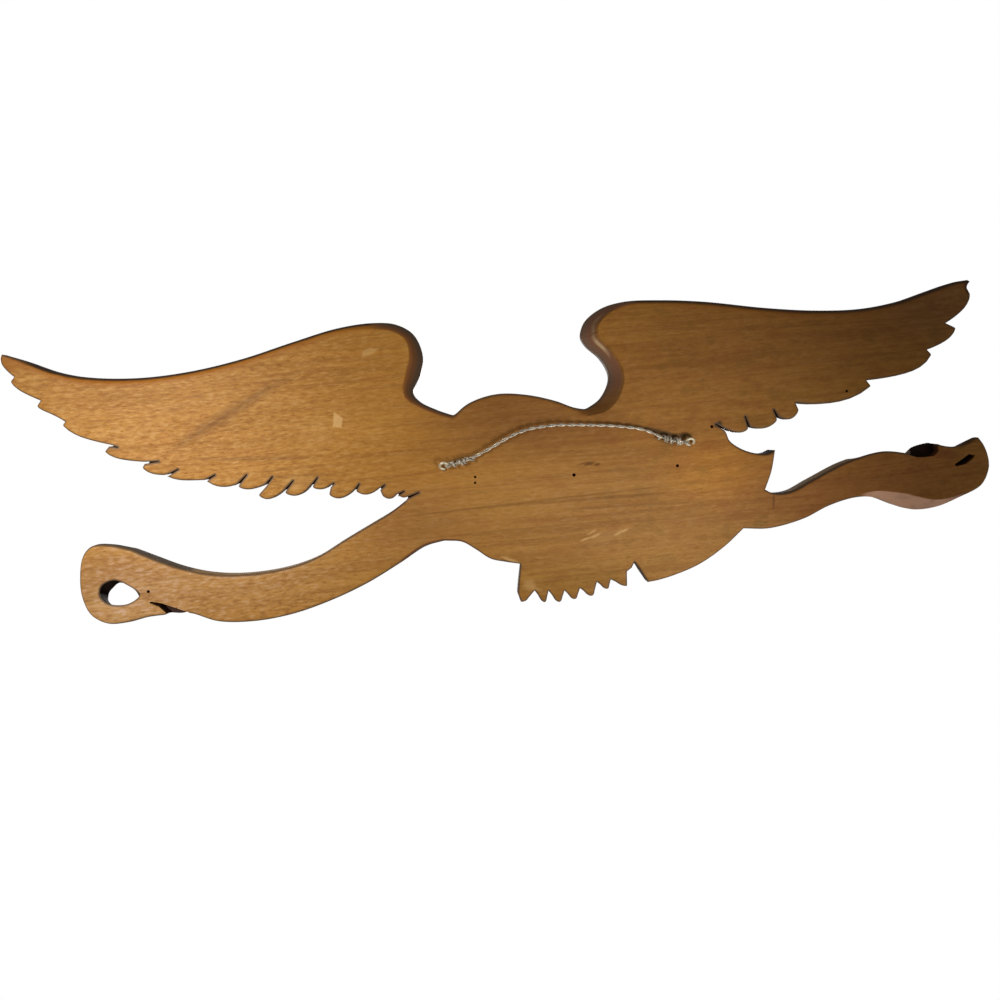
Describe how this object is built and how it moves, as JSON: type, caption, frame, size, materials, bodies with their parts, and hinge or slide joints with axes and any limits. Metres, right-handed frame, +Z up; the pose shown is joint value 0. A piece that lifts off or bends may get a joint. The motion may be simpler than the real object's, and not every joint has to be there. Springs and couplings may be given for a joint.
{
  "type": "carved eagle wall plaque",
  "caption": "Carved wooden wall plaque of a spread eagle with a shield, a serrated tail and a waving ribbon, hung by a picture wire between screw eyes in its flat back.",
  "frame": {"origin": "crown of the hanging wire, where the wall hook catches it, 4 mm behind the board's flat back", "axes": "+X along the wings, to the right as seen from the carved front; +Y out of the flat back, towards the wall; +Z up"},
  "size_m": [0.6605, 0.0286, 0.2029],
  "materials": {
    "mahogany": "satin",
    "brass": "satin",
    "picture_wire": "satin"
  },
  "bodies": {
    "root": {"carved_eagle": "mahogany", "screw_eye_left": "brass", "screw_eye_right": "brass", "hanging_wire": "picture_wire"}
  },
  "joints": []
}
